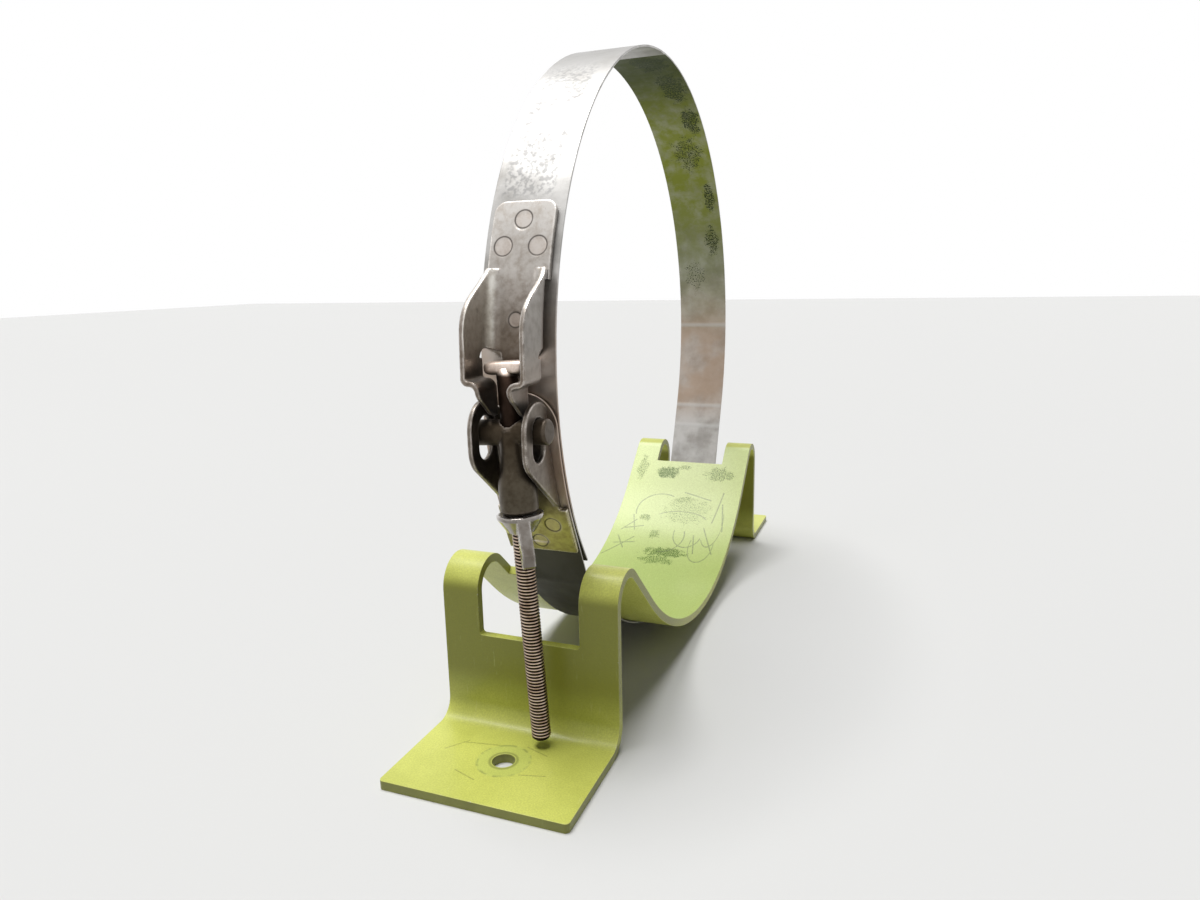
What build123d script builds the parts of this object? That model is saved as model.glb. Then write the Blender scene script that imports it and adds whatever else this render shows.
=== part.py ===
from build123d import *
import math
import os

# Strap-and-saddle bracket for one gas cylinder, millimetres.
# X runs along the cylinder, Y along the saddle from the latch side (-Y) to the far side, Z is up.
# The origin is on the mounting surface, midway between the two foot holes.

# ---- the cylinder that is held, and the saddle that carries it ----
cylinder_radius = 85.725
cylinder_gap = 0.1              # strap and cradle to cylinder
saddle_width = 47.5
sheet = 2.3
cradle_rise = 4.4               # underside of the cradle over the mounting surface
cradle_turn = 42.8              # the cradle's arc runs this many degrees each way from its lowest line
wall_standoff = 6.55            # upright wall's outer face to the trunnion's axis
roll_radius = 8.0               # outer radius of the roll at the top of each wall
foot_bend_radius = 5.0
foot_length = 32.0              # beyond the wall's outer face
foot_corner_radius = 1.2
foot_hole_reach = 15.5          # hole beyond the wall's outer face
foot_hole_diameter = 5.5
slot_width = 27.4
slot_depth = 18.8               # top of the saddle down to the slot's sill in the wall
slot_edge = 11.8                # up the flank to the slot's edge on the cradle side
slot_corner_radius = 0.8

# ---- the strap; lengths along it are counted from level with the cylinder's axis, upwards ----
strap_width = 19.05
strap_thickness = 0.6
strap_shift = 0.8               # the strap stands off the middle of its slots by this much
strap_bend_radius = 4.0
saddle_gap = 0.3                # strap to the underside of the cradle
slot_edge_gap = 0.4             # strap bend past the edge of the slot
layer_gap = 0.6                 # outer strap end over the inner tongue
tongue_end = -52.5
outer_end = -4.0
outer_end_radius = 8.0

# ---- latch plate, spot welded to the upper end of the strap ----
plate_thickness = 1.2
head_side_gap = 1.4             # cross bar to each side wall
latch_top = 39.6
latch_corner_radius = 3.0
channel_top = 23.4
channel_bend_radius = 3.0       # inside radius between floor and side walls
channel_height = 12.9           # side walls over the strap
rim_start_height = 2.6          # side walls over the strap where they begin
crest = 9.0                     # the side walls have their full height from here down
floor_end = -0.8
tail_side_gap = 0.9             # bolt to each tail
tail_length = 6.2
tail_width = 5.4
relief_diameter = 5.2

# ---- ear bracket, spot welded to the lower end of the strap ----
ear_tail_gap = 1.6              # each ear to the latch plate's tail beside it
ear_radius = 6.6
ear_top = -7.0
ear_foot = -32.8
tab_width = 18.6
tab_end = -46.5
pin_slot_travel = 3.7

# ---- spot welds: along the strap, across it ----
weld_diameter = 4.6
weld_depth = 0.15
weld_places = [(34.5, 0.0), (28.4, -4.35), (28.4, 4.35)]
ear_weld_places = [(-37.5, -4.6), (-37.5, 4.6), (-43.2, 0.0)]
dimple_diameter = 3.5
dimple_height = 12.4

# ---- trunnion, bolt and wing nut ----
pin_diameter = 6.0
pin_length = 18.6
pin_chamfer = 0.4
pin_running_gap = 0.05
pin_drop = 12.5                 # below the cylinder's axis
pin_standoff = 3.2              # off the ear bracket's face
bolt_shift = 0.7                # the trunnion floats sideways in its ears by this much
bolt_lean = 3.3                 # the loose bolt leans sideways by this angle, its lower end to +X
bolt_diameter = 4.8
bolt_sliding_gap = 0.08
tip_gap = 2.15                  # lower end of the bolt to the foot under it
tip_chamfer = 0.6
head_length = 10.6
head_depth = 4.4
head_height = 3.2
head_seat_gap = 0.5
head_rounding = 1.0
head_edge_break = 0.6
neck_diameter = 6.4
neck_over_pin = 0.8
waist_below_pin = 5.5
skirt_diameter = 8.9
skirt_slope_length = 8.0
skirt_length = 5.3
skirt_edge_break = 0.7
tail_pin_gap = 0.6              # latch plate's tails to the trunnion's pins
nut_flange_diameter = 11.0
nut_flange_height = 0.9
nut_gap = 0.1
nut_hub_diameter = 6.6
nut_hub_height = 4.4
wing_span = 19.0
wing_thickness = 2.9
wing_height = 11.0
wing_tip_height = 3.4
wing_rounding = 1.2
wing_angle = 34.0               # where the wings stand at rest, turned from -Y towards +X

# ---- the loop and the layers round it ----
seat_radius = cylinder_radius + cylinder_gap            # cradle, tongue and upper strap, inner face
cylinder_height = cradle_rise + sheet + seat_radius     # the cylinder's axis over the mounting surface
plate_radius = seat_radius + strap_thickness            # latch plate, inner face
outer_radius = plate_radius + layer_gap                 # outer strap end, inner face
ear_plate_radius = outer_radius + strap_thickness       # ear bracket, inner face
latch_width = head_length + 2 * (head_side_gap + plate_thickness)
tail_gap = bolt_diameter + 2 * tail_side_gap
ear_spacing = tail_gap + 2 * (plate_thickness + ear_tail_gap)
pin_y = -(ear_plate_radius + plate_thickness + pin_standoff)
pin_z = cylinder_height - pin_drop
loop_axis = Axis((0, 0, cylinder_height), (1, 0, 0))

# ---- the straight flank runs from the cradle's arc to the roll that brings the wall to its place ----
slope = math.radians(cradle_turn)
wall_face = -pin_y - wall_standoff                      # outer face of each upright wall, from the middle
roll_reach = roll_radius * (1 + math.sin(slope))
flank_length = (wall_face - roll_reach - seat_radius * math.sin(slope)) / math.cos(slope)

# ---- the tails are drawn in from the side walls by two bends and end above the pins ----
tail_step = latch_width / 2 - plate_thickness - tail_gap / 2
shoulder_bend_radius = 0.55 * tail_step
tail_bend_radius = 0.35 * tail_step
tail_end_z = pin_z + pin_diameter / 2 + tail_pin_gap
shoulder_height = tail_end_z + tail_length + tail_bend_radius + plate_thickness     # seat of the cross bar

# ---- the sleeve flares from neck to skirt in two equal arcs ----
skirt_step = (skirt_diameter - neck_diameter) / 4
skirt_drop = skirt_slope_length / 2
flare_turn = 2 * math.degrees(math.atan2(skirt_step, skirt_drop))
flare_radius = (skirt_step ** 2 + skirt_drop ** 2) / (2 * skirt_step)
flare_way = (math.sin(math.radians(flare_turn)), -math.cos(math.radians(flare_turn)))

# ---- heights along the bolt, from the pin's axis ----
skirt_top = -(waist_below_pin + skirt_slope_length)
skirt_bottom = skirt_top - skirt_length
nut_top = skirt_bottom - nut_gap
nut_bottom = nut_top - wing_height


def walk(start, heading, steps, offset):
    """Edges of a path of straight runs and bends, shifted sideways to its right by offset."""
    heading = math.radians(heading)
    at = Vector(*start) + Vector(math.sin(heading), -math.cos(heading)) * offset
    first = at
    edges = []
    for kind, size, *turn in steps:
        if kind == "run":
            after = at + Vector(math.cos(heading), math.sin(heading)) * size
            edges.append(Line(at, after))
        else:
            angle = math.radians(turn[0])
            side = 1 if angle > 0 else -1
            radius = size + side * offset
            centre = at + Vector(-math.sin(heading), math.cos(heading)) * side * radius
            middle = centre + (at - centre).rotate(Axis.Z, math.degrees(angle) / 2)
            after = centre + (at - centre).rotate(Axis.Z, math.degrees(angle))
            edges.append(ThreePointArc(at, middle, after))
            heading += angle
        at = after
    return edges, first, at


def strip(start, heading, steps, thickness):
    """Section of a bent strip: the given path is its left face."""
    left, left_start, left_end = walk(start, heading, steps, 0)
    right, right_start, right_end = walk(start, heading, steps, thickness)
    ends = [Line(left_start, right_start), Line(left_end, right_end)]
    return make_face(left + right + ends)


def turn_at(along):
    """Degrees round the loop for a length along the strap."""
    return math.degrees(along / seat_radius)


def polar(radius, along):
    """Point (Y, Z) on the latch side of the loop, at a length along the strap."""
    turn = along / seat_radius
    return (-radius * math.cos(turn), cylinder_height + radius * math.sin(turn))


def radial_plane(along):
    """Plane across the strap: local x is X, local y points out from the loop's axis."""
    turn = along / seat_radius
    return Plane((0, 0, cylinder_height), x_dir=(1, 0, 0), z_dir=(0, -math.sin(turn), -math.cos(turn)))


def around(section, top, bottom):
    """Turn a section in its radial plane from one length along the strap down to another."""
    return revolve(radial_plane(top) * section, loop_axis, turn_at(top - bottom))


def side_solid(section, width):
    """Extrude a (Y, Z) section symmetrically about X = 0."""
    return extrude(Plane.YZ * section, width / 2, both=True)


def cylinder_wall(radius, width):
    return Location((0, 0, cylinder_height), (0, 90, 0)) * Cylinder(radius, width)


def weld_marks(places, radius, diameter):
    """Shallow round marks on a plate's outer face."""
    marks = []
    for along, across in places:
        y, z = polar(radius, along)
        turn = along / seat_radius
        face = Plane((across, y, z), x_dir=(1, 0, 0), z_dir=(0, -math.cos(turn), math.sin(turn)))
        marks.append(face * Cylinder(diameter / 2, 2 * weld_depth))
    return marks


# ---- the saddle's profile: arc, flank, roll, wall and foot ----
flank_start = Vector(seat_radius * math.sin(slope), cylinder_height - seat_radius * math.cos(slope))
flank_way = Vector(math.cos(slope), math.sin(slope))
flank_normal = Vector(-math.sin(slope), math.cos(slope))
roll_centre = flank_start + flank_way * flank_length - flank_normal * roll_radius
saddle_height = roll_centre.Y + roll_radius
foot_end = wall_face + foot_length
foot_hole_y = wall_face + foot_hole_reach
slot_floor = saddle_height - slot_depth


def make_saddle():
    half = [
        ("bend", seat_radius, cradle_turn),
        ("run", flank_length),
        ("bend", roll_radius, -(cradle_turn + 90)),
        ("run", saddle_height - roll_radius - sheet - foot_bend_radius),
        ("bend", foot_bend_radius, 90),
        ("run", foot_length - foot_bend_radius),
    ]
    section = strip((0, cylinder_height - seat_radius), 0, half, sheet)
    section += mirror(section, Plane.YZ)
    saddle = side_solid(section, saddle_width)
    corners = saddle.edges().filter_by(Axis.Z).filter_by(lambda e: abs(e.center().Y) > foot_end - sheet)
    saddle = fillet(corners, foot_corner_radius)
    edge = flank_start + flank_way * slot_edge
    below = edge - flank_normal * (sheet + saddle_gap)
    above = edge + flank_normal * roll_radius
    beyond = wall_face + roll_radius
    outline = Polyline(
        (below.X, below.Y),
        (above.X, above.Y),
        (beyond, saddle_height + roll_radius),
        (beyond, slot_floor),
        (wall_face - 2 * sheet, slot_floor),
        close=True,
    )
    cutter = side_solid(make_face(outline), slot_width)
    saddle -= [cutter, mirror(cutter, Plane.XZ)]
    sill_corners = (
        saddle.edges()
        .filter_by(Axis.Y)
        .filter_by(lambda e: abs(e.center().Z - slot_floor) < sheet / 9 and abs(e.center().X) < slot_width)
    )
    saddle = fillet(sill_corners, slot_corner_radius)
    for y in (-foot_hole_y, foot_hole_y):
        saddle -= Pos(0, y, sheet / 2) * Cylinder(foot_hole_diameter / 2, 2 * sheet)
    return saddle


def slot_crossing(loop_radius):
    """Bend at the slot's edge, then a straight run up to a loop of the given radius."""
    under = seat_radius + sheet + saddle_gap
    run = slot_edge + slot_edge_gap
    distance = math.hypot(under - strap_bend_radius, run)
    lead = math.degrees(math.atan2(run, under - strap_bend_radius))
    turn = math.acos((loop_radius - strap_bend_radius) / distance)
    bend = lead + math.degrees(turn)
    return run, bend, distance * math.sin(turn), 90 - cradle_turn - bend


def make_strap():
    under = seat_radius + sheet + saddle_gap
    far_run, far_bend, far_rise, far_drop = slot_crossing(seat_radius)
    near_run, near_bend, near_rise, near_drop = slot_crossing(outer_radius)
    steps = [
        ("bend", outer_radius, near_drop + turn_at(outer_end)),
        ("run", near_rise),
        ("bend", strap_bend_radius, near_bend),
        ("run", near_run),
        ("bend", under, 2 * cradle_turn),
        ("run", far_run),
        ("bend", strap_bend_radius, far_bend),
        ("run", far_rise),
        ("bend", seat_radius, 180 + far_drop - turn_at(tongue_end)),
    ]
    section = strip(polar(outer_radius, outer_end), -90 - turn_at(outer_end), steps, strap_thickness)
    strap = side_solid(section, strap_width)
    end_y, end_z = polar(outer_radius, outer_end)
    tip = (
        strap.edges()
        .filter_by(lambda e: e.length < 1.5 * strap_thickness)
        .filter_by(lambda e: (e.center() - Vector(e.center().X, end_y, end_z)).length < 2 * strap_thickness)
    )
    strap = fillet(tip, outer_end_radius)
    return Pos(strap_shift, 0, 0) * strap


def make_latch_plate():
    floor_mid = plate_radius + plate_thickness / 2
    overlap = 2 * plate_thickness
    top_strip = Pos(0, floor_mid) * Rectangle(latch_width, plate_thickness)
    plate = around(top_strip, latch_top, channel_top - overlap)
    upper = plate.edges().filter_by(lambda e: e.length < overlap / 2 + 0.01).sort_by(Axis.Z)[-2:]
    plate = fillet(upper, latch_corner_radius)
    outside = Pos(0, plate_radius + channel_height / 2) * Rectangle(latch_width, channel_height)
    outside = fillet(outside.vertices().sort_by(Axis.Y)[:2], channel_bend_radius + plate_thickness)
    inside = Pos(0, plate_radius + plate_thickness + channel_height / 2) * Rectangle(
        latch_width - 2 * plate_thickness, channel_height
    )
    inside = fillet(inside.vertices().sort_by(Axis.Y)[:2], channel_bend_radius)
    wall_low = shoulder_height + plate_thickness
    channel_end = math.asin((wall_low - cylinder_height) / plate_radius) * seat_radius
    channel = around(outside - inside, channel_top, channel_end)
    # round reliefs let the floor go on as a narrow tongue while the walls run down to the shoulders
    wall_start = plate_radius + plate_thickness + channel_bend_radius
    relief_z = wall_low + relief_diameter / 2
    relief = (
        Pos(0, -(wall_start - relief_diameter / 4), relief_z)
        * Rotation(0, 90, 0)
        * Cylinder(relief_diameter / 2, 2 * latch_width)
    )
    lance_low = tail_end_z - plate_thickness
    lance = Pos(0, -(wall_start - relief_diameter / 2), (relief_z + lance_low) / 2) * Box(
        2 * latch_width, relief_diameter, relief_z - lance_low
    )
    channel -= [relief, lance]
    floor_width = latch_width - 2 * (plate_thickness + channel_bend_radius)
    floor = Pos(0, floor_mid) * Rectangle(floor_width, plate_thickness)
    channel += around(floor, channel_top - overlap, floor_end)
    # shoulders and tails, one bent strip each side
    start_z = relief_z + plate_thickness / 2
    steps = [
        ("run", start_z - (shoulder_height - plate_thickness) - shoulder_bend_radius),
        ("bend", shoulder_bend_radius, -90),
        ("run", tail_step - shoulder_bend_radius - tail_bend_radius),
        ("bend", tail_bend_radius, 90),
        ("run", tail_length),
    ]
    wall = strip((latch_width / 2, start_z), -90, steps, plate_thickness)
    wall_depth = channel_height - (wall_start - plate_radius)
    face = Plane((0, -wall_start, 0), x_dir=(1, 0, 0), z_dir=(0, -1, 0))
    shoulder = extrude(face * wall, wall_depth)
    channel += [shoulder, mirror(shoulder, Plane.YZ)]
    # side outline: the rim rises in an S to its crest, runs straight down and sweeps in along the tails
    rim = plate_radius + channel_height
    rim_start = polar(plate_radius + rim_start_height, channel_top)
    rim_crest = polar(rim, crest)
    rim_low = (-rim, shoulder_height - plate_thickness)
    tail_tip = (-(wall_start + tail_width), tail_end_z + tail_width / 2)
    tail_end = (-(wall_start + tail_width / 4), tail_end_z)
    back = -(plate_radius - channel_height)
    outline = make_face(
        [
            Spline(rim_start, rim_crest, tangents=[(-0.62, -0.78), (-0.12, -1)]),
            Line(rim_crest, rim_low),
            Spline(rim_low, tail_tip, tail_end, tangents=[(0, -1), (1, -0.15)]),
            Line(tail_end, (back, tail_end_z)),
            Line((back, tail_end_z), (back, rim_start[1])),
            Line((back, rim_start[1]), rim_start),
        ]
    )
    channel = channel & side_solid(outline, 2 * latch_width)
    latch = plate + channel
    face_radius = plate_radius + plate_thickness
    latch -= weld_marks(weld_places, face_radius, weld_diameter)
    latch -= weld_marks([(dimple_height, 0.0)], face_radius, dimple_diameter)
    return Pos(strap_shift, 0, 0) * latch


def ear_plate(top, width):
    """Plate lying on the outer strap end, from the given length along it down to the tab's end."""
    drop = slot_crossing(outer_radius)[3]
    straight = -tab_end - math.radians(drop) * seat_radius
    steps = [("bend", ear_plate_radius, drop + turn_at(top)), ("run", straight)]
    return side_solid(strip(polar(ear_plate_radius, top), -90 - turn_at(top), steps, plate_thickness), width)


def make_ear_bracket():
    ear_outside = ear_spacing + 2 * plate_thickness
    base = ear_plate(ear_top, ear_outside) + ear_plate(ear_foot, tab_width)
    # both ears carry an upright slot for the trunnion's pins; the leaning, shifted pins need a little more height
    lean = math.tan(math.radians(bolt_lean))
    pin_rise = (ear_outside / 2 + bolt_shift) * lean
    slot_top = pin_z + pin_rise + pin_running_gap
    slot_low = pin_z - pin_slot_travel
    mid = ear_plate_radius + plate_thickness / 2
    middle = (ear_top + ear_foot) / 2
    lobes = [
        Pos(pin_y, slot_top) * Edge.make_circle(ear_radius),
        Pos(pin_y, slot_low) * Edge.make_circle(ear_radius),
        Line(polar(mid, ear_top), polar(mid, middle)),
        Line(polar(mid, middle), polar(mid, ear_foot)),
    ]
    ear_face = make_hull(lobes)
    slot = Pos(pin_y, (slot_top + slot_low) / 2) * Rot(0, 0, 90) * SlotCenterToCenter(
        slot_top - slot_low, pin_diameter + 2 * pin_running_gap
    )
    ear_face -= slot
    between = Box(ear_spacing, 4 * cylinder_radius, 4 * cylinder_radius)
    ears = side_solid(ear_face, ear_outside) - between
    ears -= cylinder_wall(ear_plate_radius, 2 * ear_outside)
    bracket = base + ears
    bracket -= weld_marks(ear_weld_places, ear_plate_radius + plate_thickness, weld_diameter)
    return Pos(strap_shift, 0, 0) * bracket


def on_bolt(shape):
    """Place a shape drawn about the pin's centre, its Z up along the bolt."""
    return Pos(strap_shift + bolt_shift, pin_y, pin_z) * Rotation(0, -bolt_lean, 0) * shape


def make_trunnion():
    bore = bolt_diameter / 2 + bolt_sliding_gap
    neck = neck_diameter / 2
    skirt = skirt_diameter / 2
    waist = -waist_below_pin
    outline = make_face(
        [
            Line((bore, neck_over_pin), (neck, neck_over_pin)),
            Line((neck, neck_over_pin), (neck, waist)),
            JernArc((neck, waist), (0, -1), flare_radius, flare_turn),
            JernArc((neck + skirt_step, waist - skirt_drop), flare_way, flare_radius, -flare_turn),
            Line((skirt, skirt_top), (skirt, skirt_bottom)),
            Line((skirt, skirt_bottom), (bore, skirt_bottom)),
            Line((bore, skirt_bottom), (bore, neck_over_pin)),
        ]
    )
    sleeve = revolve(Plane.XZ * outline, Axis.Z)
    rim = sleeve.edges().filter_by(GeomType.CIRCLE).sort_by(Axis.Z)[:2].sort_by(SortBy.RADIUS)[-1]
    sleeve = chamfer(rim, skirt_edge_break)
    pins = Rotation(0, 90, 0) * Cylinder(pin_diameter / 2, pin_length)
    pins = chamfer(pins.edges().filter_by(GeomType.CIRCLE), pin_chamfer)
    body = sleeve + pins
    body -= Cylinder(bore, 4 * pin_diameter)
    return on_bolt(body)


def make_bolt():
    # the cross bar clears the shoulders by the seat gap, its lower end included
    lean_drop = head_length / 2 * math.sin(math.radians(bolt_lean))
    head_mid = shoulder_height + head_seat_gap + lean_drop + head_height / 2 - pin_z
    head = Box(head_length, head_depth, head_height)
    head = fillet(head.edges().filter_by(Axis.X), head_rounding)
    head = chamfer(head.faces().filter_by(Axis.X).edges(), head_edge_break)
    tip = (sheet + tip_gap - pin_z) / math.cos(math.radians(bolt_lean))
    shank = Pos(0, 0, (head_mid + tip) / 2) * Cylinder(bolt_diameter / 2, head_mid - tip)
    shank = chamfer(shank.edges().filter_by(GeomType.CIRCLE).sort_by(Axis.Z)[0], tip_chamfer)
    return on_bolt(Pos(0, 0, head_mid) * head + shank)


def make_nut():
    flange = nut_flange_diameter / 2
    flange_low = nut_top - nut_flange_height
    hub = nut_hub_diameter / 2
    hub_low = nut_top - nut_hub_height
    bore = bolt_diameter / 2 + bolt_sliding_gap
    edge_break = nut_flange_height / 3
    outline = Polyline(
        (bore, nut_top),
        (flange - edge_break, nut_top),
        (flange, nut_top - edge_break),
        (flange, flange_low),
        (hub, hub_low),
        (bore, hub_low),
        close=True,
    )
    nut = revolve(Plane.XZ * make_face(outline), Axis.Z)
    wing = wing_span / 2
    root = hub - nut_flange_height / 2
    blade_outline = Polyline(
        (root, flange_low),
        (flange, flange_low),
        (wing, nut_bottom + wing_tip_height),
        (wing, nut_bottom),
        (wing - wing_tip_height, nut_bottom),
        (root, hub_low),
        close=True,
    )
    blade = extrude(Plane.XZ * make_face(blade_outline), wing_thickness / 2, both=True)
    tips = blade.edges().filter_by(Axis.Y).sort_by(Axis.X)[-2:]
    blade = fillet(tips, wing_rounding)
    nut += [blade, Rotation(0, 0, 180) * blade]
    nut -= Cylinder(bore, 4 * nut_flange_diameter + 4 * wing_height)
    return on_bolt(Rotation(0, 0, wing_angle - 90) * nut)


os.makedirs("parts", exist_ok=True)
export_step(make_saddle(), "parts/saddle_bracket.step")
export_step(make_strap(), "parts/strap_band.step")
export_step(make_latch_plate(), "parts/latch_plate.step")
export_step(make_ear_bracket(), "parts/ear_bracket.step")
export_step(make_trunnion(), "parts/trunnion.step")
export_step(make_bolt(), "parts/t_bolt.step")
export_step(make_nut(), "parts/wing_nut.step")
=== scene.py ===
import bpy, bmesh, math
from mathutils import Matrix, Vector


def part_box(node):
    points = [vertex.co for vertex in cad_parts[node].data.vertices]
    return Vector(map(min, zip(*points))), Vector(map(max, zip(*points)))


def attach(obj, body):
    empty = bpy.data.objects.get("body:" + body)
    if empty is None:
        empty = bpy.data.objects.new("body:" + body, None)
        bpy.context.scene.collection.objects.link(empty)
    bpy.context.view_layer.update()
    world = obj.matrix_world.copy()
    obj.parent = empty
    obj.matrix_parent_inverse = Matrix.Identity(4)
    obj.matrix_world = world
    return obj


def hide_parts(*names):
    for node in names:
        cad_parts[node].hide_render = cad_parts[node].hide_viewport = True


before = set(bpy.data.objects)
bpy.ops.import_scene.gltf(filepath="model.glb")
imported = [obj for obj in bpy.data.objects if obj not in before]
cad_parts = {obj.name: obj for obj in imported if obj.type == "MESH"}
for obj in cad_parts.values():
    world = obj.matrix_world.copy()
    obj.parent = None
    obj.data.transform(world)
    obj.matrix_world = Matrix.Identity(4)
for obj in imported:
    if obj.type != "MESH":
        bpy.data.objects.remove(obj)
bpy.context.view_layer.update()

scene = bpy.context.scene
mm = 0.001

# camera, light and floor

camera = {
    "place": (0.08693, -0.25616, 0.11498),
    "azimuth": 21.36,       # round from -Y towards +X
    "elevation": 12.13,
    "roll": -1.24,
    "lens": 24.783,         # on a 36 mm wide sensor
}
studio = {
    "floorColour": (0.66, 0.66, 0.65, 1),
    "floorSize": 6.0,
    "roomLight": (0.10, 0.10, 0.104, 1),
    "sunStrength": 3.5,
    "sunSpread": 36.0,          # degrees, for soft shadows
    "sunFrom": (-0.16, 0.02, 1.0),
    "sidePower": 0.35,
    "sidePlace": (-0.75, -0.55, 0.55),
    "sideSize": 0.45,
}


def addCamera():
    az, el, roll = (math.radians(camera[k]) for k in ("azimuth", "elevation", "roll"))
    back = Vector((math.sin(az) * math.cos(el), -math.cos(az) * math.cos(el), math.sin(el)))
    right = (-back).cross(Vector((0, 0, 1))).normalized()
    up = right.cross(-back)
    turnedRight = right * math.cos(roll) + up * math.sin(roll)
    turnedUp = up * math.cos(roll) - right * math.sin(roll)
    data = bpy.data.cameras.new("camera")
    data.lens = camera["lens"]
    data.sensor_width = 36
    data.sensor_fit = "HORIZONTAL"
    data.clip_start = 0.01
    seen = bpy.data.objects.new("camera", data)
    scene.collection.objects.link(seen)
    place = Vector(camera["place"])
    for row in range(3):
        for column, axis in enumerate((turnedRight, turnedUp, back, place)):
            seen.matrix_world[row][column] = axis[row]
    scene.camera = seen


def addSun():
    data = bpy.data.lights.new("overhead", "SUN")
    data.energy = studio["sunStrength"]
    data.angle = math.radians(studio["sunSpread"])
    lamp = bpy.data.objects.new("overhead", data)
    scene.collection.objects.link(lamp)
    lamp.rotation_euler = (-Vector(studio["sunFrom"])).to_track_quat("-Z", "Y").to_euler()


def addLamp(name, power, place, size, aim):
    data = bpy.data.lights.new(name, "AREA")
    data.energy = power
    data.shape = "DISK"
    data.size = size
    lamp = bpy.data.objects.new(name, data)
    scene.collection.objects.link(lamp)
    lamp.location = place
    lamp.rotation_euler = (Vector(aim) - Vector(place)).to_track_quat("-Z", "Y").to_euler()


def addRoom():
    world = bpy.data.worlds.new("room")
    scene.world = world
    world.use_nodes = True
    tree = world.node_tree
    tree.nodes.clear()
    path = tree.nodes.new("ShaderNodeLightPath")
    seen = tree.nodes.new("ShaderNodeMath")
    seen.operation = "MAXIMUM"
    tree.links.new(path.outputs["Is Camera Ray"], seen.inputs[0])
    tree.links.new(path.outputs["Is Glossy Ray"], seen.inputs[1])
    alsoSeen = tree.nodes.new("ShaderNodeMath")
    alsoSeen.operation = "MAXIMUM"
    tree.links.new(seen.outputs[0], alsoSeen.inputs[0])
    tree.links.new(path.outputs["Is Transmission Ray"], alsoSeen.inputs[1])
    light = tree.nodes.new("ShaderNodeBackground")
    light.inputs["Color"].default_value = studio["roomLight"]
    backdrop = tree.nodes.new("ShaderNodeBackground")
    backdrop.inputs["Color"].default_value = (1, 1, 1, 1)
    pick = tree.nodes.new("ShaderNodeMixShader")
    tree.links.new(alsoSeen.outputs[0], pick.inputs[0])
    tree.links.new(light.outputs[0], pick.inputs[1])
    tree.links.new(backdrop.outputs[0], pick.inputs[2])
    out = tree.nodes.new("ShaderNodeOutputWorld")
    tree.links.new(pick.outputs[0], out.inputs["Surface"])
    scene.view_settings.view_transform = "Standard"


def addFloor():
    half = studio["floorSize"] / 2
    mesh = bpy.data.meshes.new("floor")
    corners = [(-half, -half, 0), (half, -half, 0), (half, half, 0), (-half, half, 0)]
    mesh.from_pydata(corners, [], [(0, 1, 2, 3)])
    floor = bpy.data.objects.new("floor", mesh)
    scene.collection.objects.link(floor)
    material = bpy.data.materials.new("floorPaint")
    material.use_nodes = True
    shader = material.node_tree.nodes["Principled BSDF"]
    shader.inputs["Base Color"].default_value = studio["floorColour"]
    shader.inputs["Roughness"].default_value = 0.85
    mesh.materials.append(material)


addCamera()
addRoom()
addFloor()
addSun()
addLamp("side", studio["sidePower"], studio["sidePlace"], studio["sideSize"], (0, 0, 0.08))
print("camera, light and floor are in")

# node helpers


def feed(tree, socket, value):
    if isinstance(value, bpy.types.NodeSocket):
        tree.links.new(value, socket)
    else:
        socket.default_value = value


def calc(tree, operation, a, b=0.0, clamp=False):
    node = tree.nodes.new("ShaderNodeMath")
    node.operation = operation
    node.use_clamp = clamp
    feed(tree, node.inputs[0], a)
    feed(tree, node.inputs[1], b)
    return node.outputs[0]


def product(tree, *masks):
    result = masks[0]
    for mask in masks[1:]:
        result = calc(tree, "MULTIPLY", result, mask)
    return result


def vectorCalc(tree, operation, a, b=(0, 0, 0)):
    node = tree.nodes.new("ShaderNodeVectorMath")
    node.operation = operation
    feed(tree, node.inputs[0], a)
    if operation == "SCALE":
        feed(tree, node.inputs["Scale"], b)
        return node.outputs[0]
    if len(node.inputs) > 1 and operation not in ("LENGTH", "NORMALIZE"):
        feed(tree, node.inputs[1], b)
    return node.outputs["Value"] if operation in ("LENGTH", "DISTANCE", "DOT_PRODUCT") else node.outputs[0]


def ramp(tree, value, low, high, outLow=0.0, outHigh=1.0, smooth=True):
    node = tree.nodes.new("ShaderNodeMapRange")
    node.interpolation_type = "SMOOTHSTEP" if smooth else "LINEAR"
    given = {"Value": value, "From Min": low, "From Max": high, "To Min": outLow, "To Max": outHigh}
    for label, source in given.items():
        feed(tree, node.inputs[label], source)
    return node.outputs[0]


def blendColour(tree, factor, a, b, mode="MIX"):
    node = tree.nodes.new("ShaderNodeMix")
    node.data_type = "RGBA"
    node.blend_type = mode
    feed(tree, node.inputs[0], factor)
    feed(tree, node.inputs[6], a)
    feed(tree, node.inputs[7], b)
    return node.outputs[2]


def noise(tree, vector, scale, detail=3.0, roughness=0.55):
    node = tree.nodes.new("ShaderNodeTexNoise")
    feed(tree, node.inputs["Vector"], vector)
    feed(tree, node.inputs["Scale"], scale)
    feed(tree, node.inputs["Detail"], detail)
    feed(tree, node.inputs["Roughness"], roughness)
    return node.outputs["Fac"]


def split(tree, vector):
    node = tree.nodes.new("ShaderNodeSeparateXYZ")
    feed(tree, node.inputs[0], vector)
    return node.outputs


def joined(tree, x, y, z=0.0):
    node = tree.nodes.new("ShaderNodeCombineXYZ")
    feed(tree, node.inputs[0], x)
    feed(tree, node.inputs[1], y)
    feed(tree, node.inputs[2], z)
    return node.outputs[0]


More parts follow.
